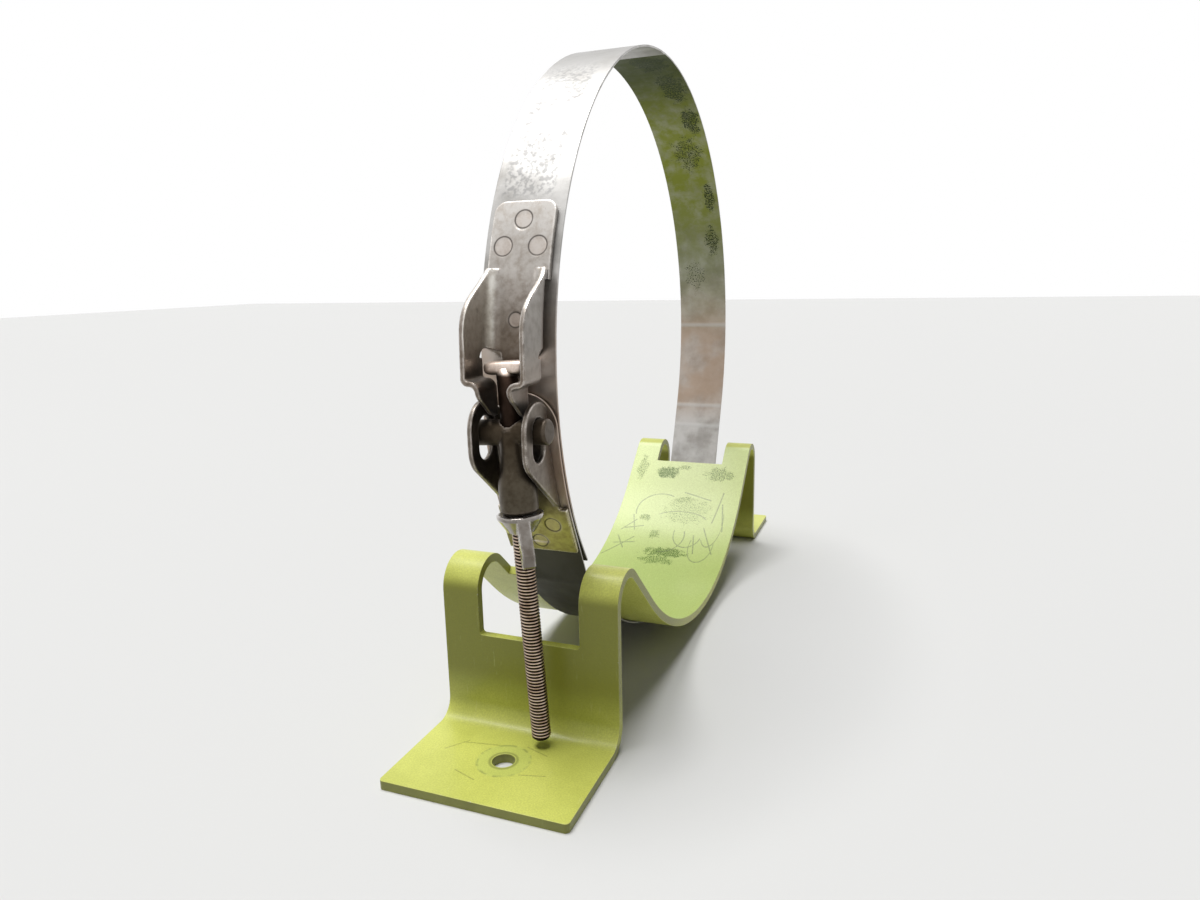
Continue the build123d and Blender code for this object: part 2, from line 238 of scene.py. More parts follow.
def startGroup(name, inputs, outputs):
    group = bpy.data.node_groups.new(name, "ShaderNodeTree")
    for label, kind, value in inputs:
        socket = group.interface.new_socket(name=label, in_out="INPUT", socket_type="NodeSocket" + kind)
        socket.default_value = value
    for label, kind in outputs:
        group.interface.new_socket(name=label, in_out="OUTPUT", socket_type="NodeSocket" + kind)
    return group, group.nodes.new("NodeGroupInput").outputs, group.nodes.new("NodeGroupOutput").inputs


def use(tree, group, **values):
    node = tree.nodes.new("ShaderNodeGroup")
    node.node_tree = bpy.data.node_groups[group]
    for label, value in values.items():
        feed(tree, node.inputs[label], value)
    return node.outputs


# shared effects


def makeEdgeWearAndHighlight():
    group, given, out = startGroup(
        "edgeWearAndHighlight",
        [
            ("Place", "Vector", (0, 0, 0)),
            ("Reach", "Float", 0.0004),
            ("Gain", "Float", 6.0),
            ("Breakup", "Float", 0.6),
        ],
        [("Mask", "Float")],
    )
    # mask of rounded edges, used for worn edges and for painted highlight on rims
    rounded = group.nodes.new("ShaderNodeBevel")
    rounded.samples = 4
    feed(group, rounded.inputs["Radius"], given["Reach"])
    flat = group.nodes.new("ShaderNodeNewGeometry")
    facing = vectorCalc(group, "DOT_PRODUCT", rounded.outputs[0], flat.outputs["Normal"])
    worn = calc(group, "MULTIPLY", calc(group, "SUBTRACT", 1.0, facing), given["Gain"], True)
    broken = ramp(group, noise(group, given["Place"], given["Breakup"], 4.0), 0.36, 0.62, 0.25, 1.0)
    group.links.new(product(group, worn, broken), out["Mask"])


def makeCloudTone():
    group, given, out = startGroup(
        "cloudTone",
        [
            ("Place", "Vector", (0, 0, 0)),
            ("Scale", "Float", 0.1),
            ("Low", "Float", 0.4),
            ("High", "Float", 0.6),
            ("First", "Color", (1, 1, 1, 1)),
            ("Second", "Color", (0, 0, 0, 1)),
        ],
        [("Colour", "Color"), ("Mask", "Float")],
    )
    mask = ramp(group, noise(group, given["Place"], given["Scale"], 5.0, 0.6), given["Low"], given["High"])
    group.links.new(blendColour(group, mask, given["First"], given["Second"]), out["Colour"])
    group.links.new(mask, out["Mask"])


def makeFineScratches():
    group, given, out = startGroup(
        "fineScratches",
        [("Place", "Vector", (0, 0, 0)), ("Scale", "Float", 1.0), ("Amount", "Float", 0.5)],
        [("Mask", "Float"), ("Height", "Float")],
    )
    lines = noise(group, given["Place"], given["Scale"], 6.0, 0.65)
    group.links.new(lines, out["Height"])
    few = ramp(group, lines, 0.62, 0.72)
    group.links.new(product(group, few, given["Amount"]), out["Mask"])


def makeCornerShade():
    group, given, out = startGroup(
        "grimeAndShade",
        [
            ("Place", "Vector", (0, 0, 0)),
            ("Reach", "Float", 0.003),
            ("Scale", "Float", 0.3),
            ("Amount", "Float", 0.8),
        ],
        [("Mask", "Float")],
    )
    # painted shade: darker where ambient occlusion finds corners and recesses, broken into patches
    corner = group.nodes.new("ShaderNodeAmbientOcclusion")
    corner.samples = 6
    feed(group, corner.inputs["Distance"], given["Reach"])
    hidden = ramp(group, corner.outputs["AO"], 0.95, 0.35)
    patchy = ramp(group, noise(group, given["Place"], given["Scale"], 4.0), 0.35, 0.65, 0.45, 1.0)
    patchyShade = product(group, hidden, patchy)
    group.links.new(calc(group, "MULTIPLY", patchyShade, given["Amount"], True), out["Mask"])


def makeRingMark():
    group, given, out = startGroup(
        "ringMark",
        [
            ("Place", "Vector", (0, 0, 0)),
            ("Centre", "Vector", (0, 0, 0)),
            ("Radius", "Float", 2.3),
            ("Line", "Float", 0.25),
        ],
        [("Disc", "Float"), ("Ring", "Float")],
    )
    away = vectorCalc(group, "DISTANCE", given["Place"], given["Centre"])
    soft = calc(group, "ADD", given["Radius"], given["Line"])
    group.links.new(ramp(group, away, given["Radius"], soft, 1.0, 0.0), out["Disc"])
    off = calc(group, "ABSOLUTE", calc(group, "SUBTRACT", away, given["Radius"]))
    group.links.new(ramp(group, off, 0.0, given["Line"], 1.0, 0.0), out["Ring"])


def makeSpeckles():
    # flecks that crowd together in a soft-edged oval
    group, given, out = startGroup(
        "speckles",
        [
            ("Place", "Vector", (0, 0, 0)),
            ("Centre", "Vector", (0, 0, 0)),
            ("Half Size", "Vector", (5, 5, 1)),
            ("Fleck Scale", "Float", 1.2),
            ("Cover", "Float", 0.5),
        ],
        [("Mask", "Float")],
    )
    here = vectorCalc(group, "SUBTRACT", given["Place"], given["Centre"])
    inside = vectorCalc(group, "DIVIDE", here, given["Half Size"])
    away = vectorCalc(group, "LENGTH", inside)
    wobble = product(group, calc(group, "SUBTRACT", noise(group, given["Place"], 0.35, 3.0), 0.5), 1.3)
    region = ramp(group, calc(group, "ADD", away, wobble), 0.45, 1.05, 1.0, 0.0)
    fleck = noise(group, given["Place"], given["Fleck Scale"], 5.0, 0.7)
    limit = calc(group, "SUBTRACT", 0.72, product(group, region, given["Cover"], 0.34))
    shown = ramp(group, fleck, limit, calc(group, "ADD", limit, 0.02))
    group.links.new(product(group, shown, ramp(group, region, 0.02, 0.15)), out["Mask"])


def makeStroke():
    # a hand-drawn line from one point to another, with a waver
    group, given, out = startGroup(
        "stroke",
        [
            ("Place", "Vector", (0, 0, 0)),
            ("From", "Vector", (0, 0, 0)),
            ("To", "Vector", (1, 0, 0)),
            ("Width", "Float", 0.3),
        ],
        [("Mask", "Float")],
    )
    along = vectorCalc(group, "SUBTRACT", given["To"], given["From"])
    here = vectorCalc(group, "SUBTRACT", given["Place"], given["From"])
    whole = vectorCalc(group, "DOT_PRODUCT", along, along)
    share = calc(group, "DIVIDE", vectorCalc(group, "DOT_PRODUCT", here, along), whole, True)
    nearest = vectorCalc(group, "SCALE", along, share)
    away = vectorCalc(group, "LENGTH", vectorCalc(group, "SUBTRACT", here, nearest))
    worn = ramp(group, noise(group, given["Place"], 1.7, 3.0), 0.3, 0.6, 0.35, 1.0)
    group.links.new(product(group, ramp(group, away, 0.0, given["Width"], 1.0, 0.0), worn), out["Mask"])


def makeArcStroke():
    # part of a hand-drawn circle: the part within Span of the middle direction
    group, given, out = startGroup(
        "arcStroke",
        [
            ("Place", "Vector", (0, 0, 0)),
            ("Centre", "Vector", (0, 0, 0)),
            ("Squash", "Vector", (1, 1, 1)),
            ("Middle", "Vector", (0, 1, 0)),
            ("Span", "Float", 0.0),
            ("Width", "Float", 0.3),
        ],
        [("Mask", "Float")],
    )
    here = vectorCalc(group, "SUBTRACT", given["Place"], given["Centre"])
    unit = vectorCalc(group, "DIVIDE", here, given["Squash"])
    size = vectorCalc(group, "LENGTH", given["Squash"])
    off = calc(group, "SUBTRACT", vectorCalc(group, "LENGTH", unit), 1.0)
    away = product(group, calc(group, "ABSOLUTE", off), size)
    line = ramp(group, product(group, away, 0.7), 0.0, given["Width"], 1.0, 0.0)
    way = vectorCalc(group, "NORMALIZE", unit)
    middle = vectorCalc(group, "NORMALIZE", given["Middle"])
    facing = vectorCalc(group, "DOT_PRODUCT", way, middle)
    kept = ramp(group, facing, given["Span"], calc(group, "ADD", given["Span"], 0.06))
    worn = ramp(group, noise(group, given["Place"], 1.7, 3.0), 0.3, 0.6, 0.35, 1.0)
    group.links.new(product(group, line, kept, worn), out["Mask"])


sharedEffects = (
    makeEdgeWearAndHighlight, makeCloudTone, makeFineScratches, makeCornerShade,
    makeRingMark, makeSpeckles, makeStroke, makeArcStroke,
)
for make in sharedEffects:
    make()
print("shared effects are built")

# sizes that several pieces share, in millimetres

loop = {"axisHeight": 92.525, "radius": 85.825}
latchMiddle = 0.8


def startMaterial(name):
    material = bpy.data.materials.new(name)
    material.use_nodes = True
    tree = material.node_tree
    shader = tree.nodes["Principled BSDF"]
    place = tree.nodes.new("ShaderNodeTexCoord")
    inMm = vectorCalc(tree, "SCALE", place.outputs["Object"], 1000.0)
    return material, tree, shader, inMm, place.outputs["Normal"]


# across the strap, degrees round the loop from its lowest line towards +Y, distance from the axis, way out
def loopPlace(tree, place):
    x, y, z = split(tree, place)
    up = calc(tree, "SUBTRACT", loop["axisHeight"], z)
    turn = product(tree, calc(tree, "ARCTAN2", y, up), 180 / math.pi)
    away = vectorCalc(tree, "LENGTH", joined(tree, 0.0, y, up))
    return x, turn, away, vectorCalc(tree, "NORMALIZE", joined(tree, 0.0, y, product(tree, up, -1.0)))


def highest(tree, masks):
    result = masks[0]
    for mask in masks[1:]:
        result = calc(tree, "MAXIMUM", result, mask)
    return result


def addBump(tree, shader, height, distance, strength=1.0, under=None):
    node = tree.nodes.new("ShaderNodeBump")
    node.inputs["Distance"].default_value = distance
    node.inputs["Strength"].default_value = strength
    feed(tree, node.inputs["Height"], height)
    if under:
        tree.links.new(under, node.inputs["Normal"])
    tree.links.new(node.outputs[0], shader.inputs["Normal"])
    return node.outputs[0]


# green paint of the saddle

paint = {
    "olive": (0.66, 0.69, 0.15, 1),
    "oliveDeep": (0.55, 0.58, 0.11, 1),
    "lime": (0.68, 0.78, 0.30, 1),
    "limeDeep": (0.44, 0.56, 0.15, 1),
    "thin": (0.66, 0.66, 0.27, 1),
    "bare": (0.72, 0.71, 0.62, 1),
    # dark tone for washer prints and scuffs, and for painted shade on the foot edges
    "grimeAndShade": (0.085, 0.085, 0.022, 1),
    "moss": (0.075, 0.150, 0.006, 1),
    "pencil": (0.10, 0.13, 0.05, 1),
    # painted shade for the upright walls
    "paintedShade": (0.24, 0.245, 0.022, 1),
    "fleck": (0.16, 0.17, 0.03, 1),
    "roughness": 0.42,
    "specular": 0.35,
    "coat": 0.25,
    "coatRoughness": 0.22,
    "bump": 0.00006,
    "edgeBreak": 0.35,
}
footMarks = {       # the hole is at (0, +-holeY), radii from its middle
    "holeY": 101.0,
    "washer": 6.3,
    "bore": 3.3,
    "scuffWidth": 0.3,
    "scuffs": [
        ((-13, -97), (-4, -95.5)), ((-16, -101), (-12, -96)), ((6, -105), (12, -103.5)),
        ((-9, -108), (-3, -110)), ((3, -94), (9, -96)),
    ],
}
cradleMarks = {     # places are (across, along the cradle's arc)
    "lineWidth": 0.42,
    "patches": [        # centre, half size, fleck scale, cover
        ((-8.0, 70.0, 0), (7.2, 3.6, 1), 3.0, 0.78),
        ((13.5, 70.5, 0), (8.0, 5.0, 1), 2.6, 0.62),
        ((-1.0, 73.0, 0), (4.0, 1.6, 1), 2.6, 0.60),
        ((-12.0, 47.0, 0), (3.0, 2.6, 1), 2.8, 0.62),
        ((1.8, 57.5, 0), (5.0, 2.2, 1), 2.6, 0.60),
        ((-5.5, 38.5, 0), (3.4, 3.4, 1), 2.6, 0.62),
        ((0.8, 28.4, 0), (12.0, 4.2, 1), 2.6, 0.74),
        ((-1.0, 23.5, 0), (9.5, 3.8, 1), 2.6, 0.66),
        ((4.0, 52.0, 0), (14.0, 11.0, 1), 2.6, 0.50),
        ((-19.0, 72.0, 0), (3.2, 9.0, 1), 2.8, 0.58),
    ],
    "strokes": [
        ((-23.0, 24.0), (-13.5, 36.0)), ((-20.5, 31.5), (-12.5, 33.0)), ((-20.0, 36.0), (-16.0, 29.0)),
        ((-19.8, 39.5), (-15.0, 45.5)), ((-17.0, 48.0), (-14.5, 40.0)), ((-18.5, 40.5), (-11.5, 42.5)),
        ((1.5, 61.0), (12.5, 58.0)), ((17.5, 56.5), (19.8, 43.0)), ((12.5, 44.0), (18.5, 30.0)),
        ((9.5, 39.5), (11.5, 29.5)), ((15.0, 47.0), (17.0, 62.0)),
    ],
    "arcs": [           # centre, half size, middle direction, how much is kept
        ((-7.0, 51.0), (9.5, 8.5), (-0.7, 0.8), 0.35),
        ((2.5, 47.5), (10.0, 4.0), (0.1, 1.0), 0.30),
        ((-2.5, 38.0), (8.5, 9.5), (0.9, -0.6), 0.55),
        ((7.0, 40.5), (5.5, 8.0), (-0.2, -1.0), 0.05),
        ((13.5, 34.0), (4.5, 9.5), (0.0, -1.0), -0.35),
        ((15.5, 46.0), (3.8, 12.0), (0.6, -0.8), 0.10),
    ],
}


def makeSaddlePaint():
    material, tree, shader, place, normal = startMaterial("saddlePaint")
    x, turn, away, outward = loopPlace(tree, place)
    inward = vectorCalc(tree, "DOT_PRODUCT", normal, outward)
    cradle = product(tree, ramp(tree, inward, -0.5, -0.8), ramp(tree, away, 88.9, 88.3))
    flat = joined(tree, x, product(tree, turn, loop["radius"] * math.pi / 180))
    olive = use(
        tree, "cloudTone", Place=place, Scale=0.045, Low=0.35, High=0.65,
        First=paint["olive"], Second=paint["oliveDeep"],
    )
    lime = blendColour(tree, ramp(tree, turn, 42.0, 8.0), paint["lime"], paint["limeDeep"])
    # painted shade: upright walls darker, less so low down near the bend into the foot
    upright = ramp(tree, calc(tree, "ABSOLUTE", split(tree, normal)[2]), 0.55, 0.10, 0.0, 0.92)
    z = split(tree, place)[2]
    shade = product(tree, upright, ramp(tree, z, 6.0, 17.0, 0.15, 1.0))
    paintedShade = blendColour(tree, shade, olive["Colour"], paint["paintedShade"])
    # painted shade: the foot plate's upright edges nearly dark
    footEdgeShade = product(tree, upright, ramp(tree, z, 3.2, 2.2, 0.0, 0.8))
    paintedShade = blendColour(tree, footEdgeShade, paintedShade, paint["grimeAndShade"])
    colour = blendColour(tree, cradle, paintedShade, lime)
    grain = noise(tree, place, 2.6, 2.0, 0.6)
    colour = blendColour(tree, ramp(tree, grain, 0.3, 0.7, 0.0, 0.22), colour, paint["fleck"])
    stretched = vectorCalc(tree, "MULTIPLY", place, (1.0, 0.12, 0.12))
    streaks = use(tree, "fineScratches", Place=stretched, Scale=1.1, Amount=0.30)
    colour = blendColour(tree, streaks["Mask"], colour, paint["thin"])
    # rubbed-through and dirty places in the cradle
    speckled = []
    for centre, halfSize, fleck, cover in cradleMarks["patches"]:
        values = {"Centre": centre, "Half Size": halfSize, "Fleck Scale": fleck, "Cover": cover}
        speckled.append(use(tree, "speckles", Place=flat, **values)["Mask"])
    moss = product(tree, highest(tree, speckled), cradle)
    colour = blendColour(tree, product(tree, moss, 0.97), colour, paint["moss"])
    lines = []
    for start, end in cradleMarks["strokes"]:
        ends = {"From": (*start, 0), "To": (*end, 0), "Width": cradleMarks["lineWidth"]}
        lines.append(use(tree, "stroke", Place=flat, **ends)["Mask"])
    for centre, halfSize, middle, kept in cradleMarks["arcs"]:
        values = {
            "Centre": (*centre, 0), "Squash": (*halfSize, 1), "Middle": (*middle, 0),
            "Span": kept, "Width": cradleMarks["lineWidth"],
        }
        lines.append(use(tree, "arcStroke", Place=flat, **values)["Mask"])
    pencil = product(tree, highest(tree, lines), cradle)
    colour = blendColour(tree, product(tree, pencil, 0.80), colour, paint["pencil"])
    # washer's print and short scratches round each foot hole
    top = ramp(tree, split(tree, normal)[2], 0.7, 0.9)
    nearFoot = vectorCalc(tree, "MULTIPLY", vectorCalc(tree, "ABSOLUTE", place), (1.0, 1.0, 0.0))
    hole = (0, footMarks["holeY"], 0)
    washer = use(tree, "ringMark", Place=nearFoot, Centre=hole, Radius=footMarks["washer"], Line=0.55)
    inner = use(tree, "ringMark", Place=nearFoot, Centre=hole, Radius=footMarks["bore"], Line=0.6)
    patchy = ramp(tree, noise(tree, place, 0.5, 4.0), 0.42, 0.60)
    printed = product(tree, product(tree, washer["Ring"], patchy), product(tree, top, 0.55))
    colour = blendColour(tree, printed, colour, paint["grimeAndShade"])
    colour = blendColour(tree, product(tree, washer["Disc"], top, 0.25), colour, paint["limeDeep"])
    colour = blendColour(tree, product(tree, inner["Ring"], top, 0.5), colour, paint["grimeAndShade"])
    scuffs = []
    for start, end in footMarks["scuffs"]:
        level = vectorCalc(tree, "MULTIPLY", place, (1, 1, 0))
        ends = {"From": (*start, 0), "To": (*end, 0), "Width": footMarks["scuffWidth"]}
        scuffs.append(use(tree, "stroke", Place=level, **ends)["Mask"])
    scuffed = product(tree, highest(tree, scuffs), top)
    scuffed = product(tree, scuffed, ramp(tree, split(tree, place)[2], 12.0, 8.0, 0.0, 0.55))
    colour = blendColour(tree, scuffed, colour, paint["grimeAndShade"])
    # painted shade in the corners, in patches; thin paint on the edges, a few bare chips
    cornerShade = use(tree, "grimeAndShade", Place=place, Reach=0.010, Scale=0.12, Amount=0.55)["Mask"]
    colour = blendColour(tree, product(tree, cornerShade, 0.6), colour, paint["oliveDeep"])
    edge = use(tree, "edgeWearAndHighlight", Place=place, Reach=0.0004, Gain=5.0, Breakup=0.35)["Mask"]
    edge = product(tree, edge, ramp(tree, footEdgeShade, 0.3, 0.7, 1.0, 0.15))
    colour = blendColour(tree, product(tree, edge, 0.45), colour, paint["thin"])
    chip = calc(tree, "MULTIPLY", edge, ramp(tree, noise(tree, place, 0.9, 4.0), 0.60, 0.66), True)
    colour = blendColour(tree, chip, colour, paint["bare"])
    tree.links.new(colour, shader.inputs["Base Color"])
    rough = calc(tree, "ADD", ramp(tree, grain, 0.3, 0.7, -0.05, 0.07), product(tree, moss, 0.25))
    tree.links.new(calc(tree, "ADD", rough, paint["roughness"]), shader.inputs["Roughness"])
    shader.inputs["Specular IOR Level"].default_value = paint["specular"]
    shader.inputs["Coat Weight"].default_value = paint["coat"]
    shader.inputs["Coat Roughness"].default_value = paint["coatRoughness"]
    height = calc(tree, "SUBTRACT", product(tree, grain, 0.5), product(tree, moss, 0.4))
    addBump(tree, shader, height, paint["bump"])
    return material


# steel finishes

strapFinish = {
    "bright": (0.49, 0.48, 0.465, 1),
    "dull": (0.29, 0.28, 0.265, 1),
    "brown": (0.36, 0.25, 0.17, 1),
    "overspray": (0.20, 0.225, 0.026, 1),
    "moss": (0.016, 0.026, 0.004, 1),
    "scratch": (0.20, 0.19, 0.18, 1),
    "worn": (0.20, 0.197, 0.19, 1),
    "tabShade": (0.030, 0.030, 0.012, 1),
    "rubbed": (0.16, 0.16, 0.16, 1),
    "creases": (90.0, 67.4, 61.6),      # degrees round the loop, on the far side
    "fleckScale": 1.9,
    "clumps": [         # (across, along the loop), half size, cover
        ((3.0, 262.0, 0), (8.0, 11.0, 1), 0.74),
        ((5.0, 243.0, 0), (6.0, 14.0, 1), 0.72),
        ((6.5, 224.0, 0), (4.5, 10.0, 1), 0.74),
        ((2.0, 208.0, 0), (8.0, 11.0, 1), 0.64),
        ((7.0, 188.0, 0), (3.4, 8.0, 1), 0.72),
        ((6.0, 170.0, 0), (4.0, 8.0, 1), 0.68),
        ((-2.0, 155.0, 0), (6.0, 9.0, 1), 0.52),
    ],
    "roughness": 0.36,
    "specular": 0.25,
    "bump": 0.00008,
    "edgeBreak": 0.16,
}


def makeStrapSteel():
    material, tree, shader, place, normal = startMaterial("strapSteel")
    x, turn, _, outward = loopPlace(tree, place)
    side = vectorCalc(tree, "DOT_PRODUCT", normal, outward)
    inside = ramp(tree, side, -0.3, -0.6)
    outside = ramp(tree, side, 0.3, 0.6)
    along = product(tree, turn, loop["radius"] * math.pi / 180)
    flat = joined(tree, x, along)
    lengthwise = joined(tree, product(tree, x, 3.0), product(tree, along, 0.06))
    drawn = use(tree, "fineScratches", Place=lengthwise, Scale=1.6, Amount=0.5)
    crosswise = joined(tree, product(tree, x, 0.25), product(tree, along, 1.8))
    crossed = use(tree, "fineScratches", Place=crosswise, Scale=1.0, Amount=0.4)
    tone = use(
        tree, "cloudTone", Place=flat, Scale=0.09, Low=0.35, High=0.7,
        First=strapFinish["bright"], Second=strapFinish["dull"],
    )
    colour = blendColour(tree, product(tree, drawn["Mask"], 0.5), tone["Colour"], strapFinish["scratch"])
    # duller towards the top of the loop
    dull = product(tree, ramp(tree, turn, -128.0, -168.0, 0.0, 0.75), outside)
    colour = blendColour(tree, dull, colour, strapFinish["worn"])
    # warm stain low on both sides
    z = split(tree, place)[2]
    low = product(tree, ramp(tree, z, 122.0, 84.0), ramp(tree, z, 50.0, 66.0, 0.1, 1.0))
    stain = product(tree, low, ramp(tree, noise(tree, flat, 0.07, 3.0), 0.3, 0.6, 0.55, 1.0))
    colour = blendColour(tree, product(tree, stain, 0.75), colour, strapFinish["brown"])
    # stray green paint in a mist on the inner face; near the top the inner face goes nearly black-green
    green = product(tree, inside, ramp(tree, turn, 84.0, 128.0))
    mist = product(tree, green, ramp(tree, noise(tree, flat, 0.16, 5.0, 0.65), 0.30, 0.62, 0.60, 1.0))
    colour = blendColour(tree, mist, colour, strapFinish["overspray"])
    deep = product(tree, inside, ramp(tree, turn, 140.0, 172.0, 0.0, 0.85))
    colour = blendColour(tree, deep, colour, strapFinish["moss"])
    clumps = []
    for centre, halfSize, cover in strapFinish["clumps"]:
        values = {"Centre": centre, "Half Size": halfSize, "Cover": cover}
        values["Fleck Scale"] = strapFinish["fleckScale"]
        clumps.append(use(tree, "speckles", Place=flat, **values)["Mask"])
    moss = product(tree, highest(tree, clumps), inside)
    colour = blendColour(tree, moss, colour, strapFinish["moss"])
    # painted shade below the latch's tab
    tabShade = product(tree, ramp(tree, turn, -62.5, -59.5), ramp(tree, turn, 0.0, -25.0, 0.0, 0.9))
    tabShade = product(tree, tabShade, outside)
    colour = blendColour(tree, tabShade, colour, strapFinish["tabShade"])
    # dull rubbed panel on the outer face above the latch
    panel = product(tree, ramp(tree, turn, -153.0, -148.0), ramp(tree, turn, -116.5, -118.5))
    panel = product(tree, product(tree, panel, outside), ramp(tree, calc(tree, "ABSOLUTE", x), 7.6, 6.0))
    rubbed = product(tree, panel, ramp(tree, noise(tree, flat, 0.8, 3.0), 0.42, 0.60))
    colour = blendColour(tree, product(tree, rubbed, 0.55), colour, strapFinish["rubbed"])
    creased = []
    for degrees in strapFinish["creases"]:
        off = calc(tree, "ABSOLUTE", calc(tree, "SUBTRACT", turn, degrees))
        creased.append(ramp(tree, off, 0.0, 0.9, 1.0, 0.0))
    crease = product(tree, highest(tree, creased), inside)
    colour = blendColour(tree, product(tree, crease, 0.55), colour, strapFinish["bright"])
    edge = use(tree, "edgeWearAndHighlight", Place=place, Reach=0.0002, Gain=3.0, Breakup=0.4)["Mask"]
    colour = blendColour(tree, product(tree, edge, 0.6), colour, strapFinish["bright"])
    tree.links.new(colour, shader.inputs["Base Color"])
    painted = highest(tree, [mist, moss, deep, product(tree, tabShade, 0.5)])
    tree.links.new(ramp(tree, painted, 0.0, 0.6, 1.0, 0.0), shader.inputs["Metallic"])
    shader.inputs["Specular IOR Level"].default_value = strapFinish["specular"]
    rough = calc(tree, "ADD", product(tree, painted, 0.25), product(tree, rubbed, 0.12))
    rough = calc(tree, "ADD", rough, product(tree, tone["Mask"], 0.10))
    tree.links.new(calc(tree, "ADD", rough, strapFinish["roughness"]), shader.inputs["Roughness"])
    height = calc(tree, "ADD", product(tree, drawn["Height"], 0.25), product(tree, crossed["Height"], 0.10))
    height = calc(tree, "ADD", height, product(tree, noise(tree, flat, 0.12, 1.0), 3.0))
    height = calc(tree, "ADD", height, product(tree, crease, 0.8))
    addBump(tree, shader, height, strapFinish["bump"])
    return material


steelLooks = {      # low and high tints, blended between two heights
    "latchSteel": {
        "high": (0.62, 0.595, 0.565, 1), "highZ": 134.0,
        "low": (0.17, 0.135, 0.105, 1), "lowZ": 94.0,
        "edge": (1.0, 0.95, 0.90, 1), "edgeShare": 0.95,
        "dark": (0.035, 0.030, 0.025, 1),
        "roughness": 0.30, "paintedSheen": 0.25, "wander": 16.0, "walls": 0.9,
        "rings": [
            ((0.8, -79.7, 127.0), 2.3), ((-3.55, -82.5, 121.2), 2.3),
            ((5.15, -82.5, 121.2), 2.3), ((0.8, -86.8, 104.9), 1.75),
        ],
    },
    "earSteel": {
        "high": (0.155, 0.13, 0.105, 1), "highZ": 70.0,
        "low": (0.40, 0.37, 0.16, 1), "lowZ": 50.0,
        "edge": (1.0, 0.94, 0.88, 1), "edgeShare": 0.9,
        "dark": (0.035, 0.030, 0.020, 1),
        "roughness": 0.32, "paintedSheen": 0.08, "wander": 10.0,
        "rings": [((-3.8, -79.4, 55.4), 2.3), ((5.4, -79.4, 55.4), 2.3), ((0.8, -76.8, 50.3), 2.3)],
    },
    "trunnionSteel": {
        "high": (0.055, 0.042, 0.028, 1), "highZ": 82.0,
        "low": (0.090, 0.076, 0.055, 1), "lowZ": 62.0,
        "edge": (0.60, 0.52, 0.46, 1), "edgeShare": 0.5,
        "dark": (0.020, 0.016, 0.012, 1),
        "roughness": 0.34, "paintedSheen": 0.10, "wander": 16.0,
    },
    "barSteel": {
        "high": (0.80, 0.68, 0.60, 1), "highZ": 94.4,
        # low: the shank under the bar near black, painted shade from the bar and latch above
        "low": (0.022, 0.013, 0.009, 1), "lowZ": 92.8,
        "edge": (0.95, 0.84, 0.76, 1), "edgeShare": 0.2,
        "dark": (0.04, 0.025, 0.018, 1),
        "roughness": 0.36, "paintedSheen": 0.0, "wander": 1.0,
    },
    "nutSteel": {
        "high": (0.24, 0.22, 0.20, 1), "highZ": 62.0,
        "low": (0.17, 0.15, 0.13, 1), "lowZ": 50.0,
        "edge": (0.92, 0.89, 0.86, 1), "edgeShare": 0.5,
        "dark": (0.030, 0.026, 0.022, 1),
        "roughness": 0.15, "paintedSheen": 0.55, "wander": 16.0,
    },
}
steelMarks = {
    "wallHighlight": (0.74, 0.72, 0.67, 1),
    # dull: painted shade for the channel's outer walls
    "dull": (0.12, 0.112, 0.098, 1),
    "mottle": (0.62, 0.58, 0.54, 1),
    "weld": (0.74, 0.62, 0.55, 1),
    "bump": 0.00005,
}


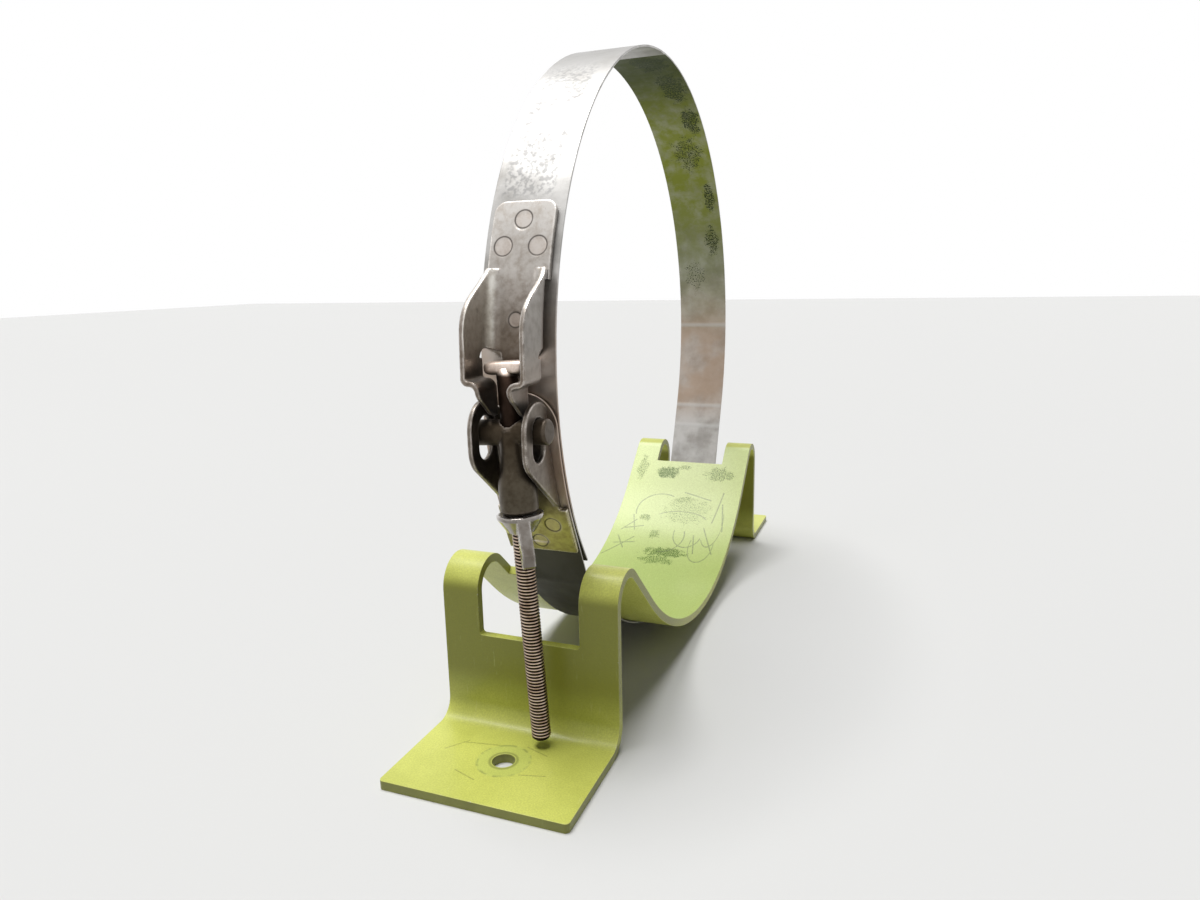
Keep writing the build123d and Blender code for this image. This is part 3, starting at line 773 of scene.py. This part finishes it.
def makeSteel(name):
    look = steelLooks[name]
    material, tree, shader, place, normal = startMaterial(name)
    x, _, z = split(tree, place)
    walls = look.get("walls", 0.0)
    wander = product(tree, calc(tree, "SUBTRACT", noise(tree, place, 0.14, 3.0), 0.5), look["wander"])
    rise = ramp(tree, calc(tree, "ADD", z, wander), look["lowZ"], look["highZ"])
    colour = blendColour(tree, rise, look["low"], look["high"])
    # walls of the channel: painted highlight on the inner faces, painted shade on the outer faces
    facing = product(tree, calc(tree, "SUBTRACT", x, latchMiddle), split(tree, normal)[0])
    above = ramp(tree, z, 93.0, 101.0)
    wallHighlight = product(tree, ramp(tree, facing, -1.5, -4.5), product(tree, above, walls))
    colour = blendColour(tree, wallHighlight, colour, steelMarks["wallHighlight"])
    dull = product(tree, ramp(tree, facing, 2.5, 5.5), product(tree, above, walls))
    colour = blendColour(tree, product(tree, dull, 0.8), colour, steelMarks["dull"])
    mottled = use(
        tree, "cloudTone", Place=place, Scale=0.55, Low=0.35, High=0.72,
        First=(1, 1, 1, 1), Second=steelMarks["mottle"],
    )
    colour = blendColour(tree, 0.8, colour, mottled["Colour"], "MULTIPLY")
    stretched = vectorCalc(tree, "MULTIPLY", place, (3.0, 0.5, 0.25))
    drawn = use(tree, "fineScratches", Place=stretched, Scale=1.4, Amount=0.35)
    colour = blendColour(tree, drawn["Mask"], colour, look["dark"])
    discs, rings = [], []
    for centre, radius in look.get("rings", []):
        mark = use(tree, "ringMark", Place=place, Centre=centre, Radius=radius, Line=0.34)
        discs.append(mark["Disc"])
        rings.append(mark["Ring"])
    if discs:
        colour = blendColour(tree, product(tree, highest(tree, discs), 0.18), colour, steelMarks["weld"])
        colour = blendColour(tree, product(tree, highest(tree, rings), 0.88), colour, look["dark"])
    # painted shade: darker in corners and recesses
    cornerShade = use(tree, "grimeAndShade", Place=place, Reach=0.0045, Scale=0.3, Amount=0.9)["Mask"]
    colour = blendColour(tree, product(tree, cornerShade, 0.8), colour, look["dark"])
    # pale rims: worn edges, with a painted highlight on the rounded folds
    edge = use(tree, "edgeWearAndHighlight", Place=place, Reach=0.0008, Gain=7.0, Breakup=0.5)["Mask"]
    colour = blendColour(tree, product(tree, edge, look["edgeShare"]), colour, look["edge"])
    # painted sheen: paler where the surface turns away from the view
    turned = tree.nodes.new("ShaderNodeLayerWeight")
    turned.inputs["Blend"].default_value = 0.5
    paintedSheen = ramp(tree, turned.outputs["Facing"], 0.25, 0.85, 0.0, look["paintedSheen"])
    colour = blendColour(tree, paintedSheen, colour, look["edge"])
    tree.links.new(colour, shader.inputs["Base Color"])
    shader.inputs["Metallic"].default_value = 1.0
    rough = calc(tree, "ADD", product(tree, mottled["Mask"], 0.12), product(tree, cornerShade, 0.25))
    tree.links.new(calc(tree, "ADD", rough, look["roughness"]), shader.inputs["Roughness"])
    height = product(tree, drawn["Height"], 0.25)
    height = calc(tree, "ADD", height, product(tree, noise(tree, place, 3.0, 3.0), 0.35))
    addBump(tree, shader, height, steelMarks["bump"])
    return material


threadLook = {
    "crest": (0.56, 0.44, 0.35, 1),
    "flank": (0.05, 0.035, 0.022, 1),
    "root": (0.010, 0.007, 0.005, 1),
    "stain": (0.50, 0.42, 0.36, 1),
    "roughness": 0.27,
    "bump": 0.00003,
}


def makeThreadSteel(axisPoint, axisWay, crestRadius, rootRadius):
    material, tree, shader, place, _ = startMaterial("threadSteel")
    fromAxis = vectorCalc(tree, "SUBTRACT", place, axisPoint)
    away = vectorCalc(tree, "LENGTH", vectorCalc(tree, "CROSS_PRODUCT", fromAxis, axisWay))
    depth = ramp(tree, away, rootRadius, crestRadius)
    # painted shade: darker down the flanks, near black in the roots
    colour = blendColour(tree, ramp(tree, depth, 0.05, 0.55), threadLook["root"], threadLook["flank"])
    colour = blendColour(tree, ramp(tree, depth, 0.6, 0.95), colour, threadLook["crest"])
    stain = use(
        tree, "cloudTone", Place=place, Scale=0.35, Low=0.4, High=0.7,
        First=(1, 1, 1, 1), Second=threadLook["stain"],
    )
    colour = blendColour(tree, 0.85, colour, stain["Colour"], "MULTIPLY")
    tree.links.new(colour, shader.inputs["Base Color"])
    shader.inputs["Metallic"].default_value = 1.0
    rough = product(tree, calc(tree, "SUBTRACT", 1.0, depth), 0.3)
    tree.links.new(calc(tree, "ADD", rough, threadLook["roughness"]), shader.inputs["Roughness"])
    addBump(tree, shader, noise(tree, place, 4.0, 3.0), threadLook["bump"])
    return material


# making the pieces

meshCare = {
    "weld": 0.000005,       # points closer than this become one
    "flat": 0.4,            # degrees between faces that count as one
    "seam": 0.00001,        # points closer than this meet in a made mesh
}
forged = {      # voxel and smoothing passes of the rounded skin, voxel in millimetres
    "latch": {
        "solid": "latch_plate", "body": "root", "slot": "latch_steel",
        "finish": "latchSteel", "voxel": 0.2, "passes": 6,
    },
    "ears": {
        "solid": "ear_bracket", "body": "root", "slot": "latch_steel",
        "finish": "earSteel", "voxel": 0.2, "passes": 6,
    },
    "sleeve": {
        "solid": "trunnion", "body": "trunnion", "slot": "trunnion_steel",
        "finish": "trunnionSteel", "voxel": 0.16, "passes": 6,
    },
    "nut": {
        "solid": "wing_nut", "body": "wing_nut", "slot": "nut_steel",
        "finish": "nutSteel", "voxel": 0.15, "passes": 8,
    },
}


def addPiece(name, mesh, body, slotName, material, *nodes):
    piece = bpy.data.objects.new(name, mesh)
    scene.collection.objects.link(piece)
    mesh.materials.clear()
    mesh.materials.append(material)
    for face in mesh.polygons:
        face.use_smooth = True
        face.material_index = 0
    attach(piece, body)
    if nodes:
        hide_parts(*nodes)
    return piece


# the solid as one welded mesh with its flat faces whole
def cleanCopy(node):
    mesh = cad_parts[node].data.copy()
    work = bmesh.new()
    work.from_mesh(mesh)
    bmesh.ops.remove_doubles(work, verts=work.verts, dist=meshCare["weld"])
    flat = math.radians(meshCare["flat"])
    bmesh.ops.dissolve_limit(work, angle_limit=flat, verts=work.verts, edges=work.edges)
    work.to_mesh(mesh)
    work.free()
    return mesh


def breakEdges(piece, width, segments=3, angle=32):
    rounding = piece.modifiers.new("edgeBreak", "BEVEL")
    rounding.width = width
    rounding.segments = segments
    rounding.limit_method = "ANGLE"
    rounding.angle_limit = math.radians(angle)
    rounding.harden_normals = False
    even = piece.modifiers.new("evenNormals", "WEIGHTED_NORMAL")
    even.keep_sharp = False


# a forged or stamped skin: remeshed evenly, then relaxed so that every edge rounds over
def softened(mesh, voxel, passes, factor=0.5):
    scratch = bpy.data.objects.new("scratch", mesh)
    scene.collection.objects.link(scratch)
    skin = scratch.modifiers.new("skin", "REMESH")
    skin.mode = "VOXEL"
    skin.voxel_size = voxel
    skin.use_smooth_shade = True
    relax = scratch.modifiers.new("relax", "SMOOTH")
    relax.factor = factor
    relax.iterations = passes
    graph = bpy.context.evaluated_depsgraph_get()
    done = bpy.data.meshes.new_from_object(scratch.evaluated_get(graph))
    bpy.data.objects.remove(scratch)
    return done


def addForged(name):
    made = forged[name]
    mesh = softened(cleanCopy(made["solid"]), made["voxel"] * mm, made["passes"])
    addPiece(name, mesh, made["body"], made["slot"], makeSteel(made["finish"]), made["solid"])


sheet = cleanCopy("saddle_bracket")
saddle = addPiece("saddle", sheet, "root", "saddle_paint", makeSaddlePaint(), "saddle_bracket")
breakEdges(saddle, paint["edgeBreak"] * mm)
print("saddle is in")

band = cleanCopy("strap_band")
strap = addPiece("strap", band, "root", "strap_steel", makeStrapSteel(), "strap_band")
breakEdges(strap, strapFinish["edgeBreak"] * mm, 2)
print("strap is in")

addForged("latch")
addForged("ears")
print("latch and ears are in")

addForged("sleeve")
addForged("nut")
print("sleeve and nut are in")

# the bolt: a rolled thread and a forged cross bar

boltSize = {
    "pivot": (1.5, -92.025, 80.025),
    "lean": 3.3,
    "radius": 2.38,
    "root": 1.93,
    "pitch": 0.79375,
    "threadTop": -4.0,
    "tip": -75.7,
    "tipTaper": 0.6,
    "around": 36,
    "shankAround": 48,
    "shankStart": -5.2,         # inside the thread
    "barAround": 40,
    "barSections": 28,
    "barLength": 10.5,
    "barDepth": 4.3,
    "barHeight": 3.1,
    "barDrop": 1.75,            # from the bolt's highest point to the bar's middle
    "barSquare": 0.72,          # 1 is a plain oval, less is squarer
    "barEnds": (7, 0.42),       # how late and how bluntly the ends close
}
leanTurn = math.radians(boltSize["lean"])
boltWay = Vector((-math.sin(leanTurn), 0, math.cos(leanTurn)))
boltSide = Vector((math.cos(leanTurn), 0, math.sin(leanTurn)))
boltDepth = Vector((0, 1, 0))


def onBolt(across, deep, high):
    return (Vector(boltSize["pivot"]) + boltSide * across + boltDepth * deep + boltWay * high) * mm


def makeThread():
    size = boltSize
    shape = [(0.0, 1.0), (0.16, 1.0), (0.50, 0.0), (0.62, 0.0)]     # share of the pitch, share of the depth
    turns = int((size["threadTop"] - size["tip"]) / size["pitch"]) + 2
    around = size["around"]
    work = bmesh.new()
    rows = []
    for turn in range(turns):
        for share, full in shape:
            row = []
            for step in range(around):
                high = size["threadTop"] - (turn + share + step / around) * size["pitch"]
                radius = size["root"] + (size["radius"] - size["root"]) * full
                if high < size["tip"]:
                    high = size["tip"]
                radius = min(radius, size["radius"] - size["tipTaper"] + max(0.0, high - size["tip"]))
                angle = 2 * math.pi * step / around
                row.append(work.verts.new(onBolt(radius * math.cos(angle), radius * math.sin(angle), high)))
            rows.append(row)
    stride = len(shape)
    for index in range(len(rows) - stride):
        for step in range(around):
            here, below = rows[index], rows[index + 1]
            if step < around - 1:
                corners = (here[step], here[step + 1], below[step + 1], below[step])
            elif index + stride + 1 == len(rows):
                continue
            else:
                corners = (here[step], rows[index + stride][0], rows[index + stride + 1][0], below[step])
            work.faces.new(corners)
    bmesh.ops.remove_doubles(work, verts=work.verts, dist=meshCare["seam"])
    bmesh.ops.dissolve_degenerate(work, edges=work.edges, dist=meshCare["weld"])
    loose = [v for v in work.verts if not v.link_faces]
    bmesh.ops.delete(work, geom=loose, context="VERTS")
    bmesh.ops.holes_fill(work, edges=[e for e in work.edges if e.is_boundary], sides=0)
    bmesh.ops.recalc_face_normals(work, faces=work.faces)
    mesh = bpy.data.meshes.new("thread")
    work.to_mesh(mesh)
    work.free()
    return mesh


def joinRings(work, first, second):
    for step in range(len(first)):
        after = (step + 1) % len(first)
        work.faces.new((first[step], first[after], second[after], second[step]))


def makeShankAndBar():
    size = boltSize
    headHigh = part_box("t_bolt")[1].z / mm - size["pivot"][2] - size["barDrop"]
    work = bmesh.new()
    around = size["shankAround"]
    rings = []
    for level in (size["shankStart"], headHigh):
        ring = []
        for step in range(around):
            angle = 2 * math.pi * step / around
            across, deep = size["radius"] * math.cos(angle), size["radius"] * math.sin(angle)
            ring.append(work.verts.new(onBolt(across, deep, level)))
        rings.append(ring)
    joinRings(work, *rings)
    work.faces.new(rings[0][::-1])
    work.faces.new(rings[1])
    # the bar: oval sections that close in at both ends
    sections = []
    half = size["barLength"] / 2
    around, count, square = size["barAround"], size["barSections"], size["barSquare"]
    late, blunt = size["barEnds"]
    for index in range(count + 1):
        t = -1 + 2 * index / count
        across = half * math.sin(t * math.pi / 2)
        fill = max(0.0, 1 - abs(across / half) ** late) ** blunt
        section = []
        for step in range(around):
            angle = 2 * math.pi * step / around
            c, s = math.cos(angle), math.sin(angle)
            deep = size["barDepth"] / 2 * math.copysign(abs(c) ** square, c) * fill
            high = size["barHeight"] / 2 * math.copysign(abs(s) ** square, s) * fill
            section.append(work.verts.new(onBolt(across, deep, headHigh + high)))
        sections.append(section)
    for first, second in zip(sections, sections[1:]):
        joinRings(work, first, second)
    bmesh.ops.remove_doubles(work, verts=work.verts, dist=meshCare["seam"])
    bmesh.ops.recalc_face_normals(work, faces=work.faces)
    mesh = bpy.data.meshes.new("crossBar")
    work.to_mesh(mesh)
    work.free()
    return mesh


addPiece("crossBar", makeShankAndBar(), "t_bolt", "bolt_steel", makeSteel("barSteel"), "t_bolt")
threadSteel = makeThreadSteel(boltSize["pivot"], tuple(boltWay), boltSize["radius"], boltSize["root"])
addPiece("thread", makeThread(), "t_bolt", "bolt_steel", threadSteel, "t_bolt")
print("bolt is in")
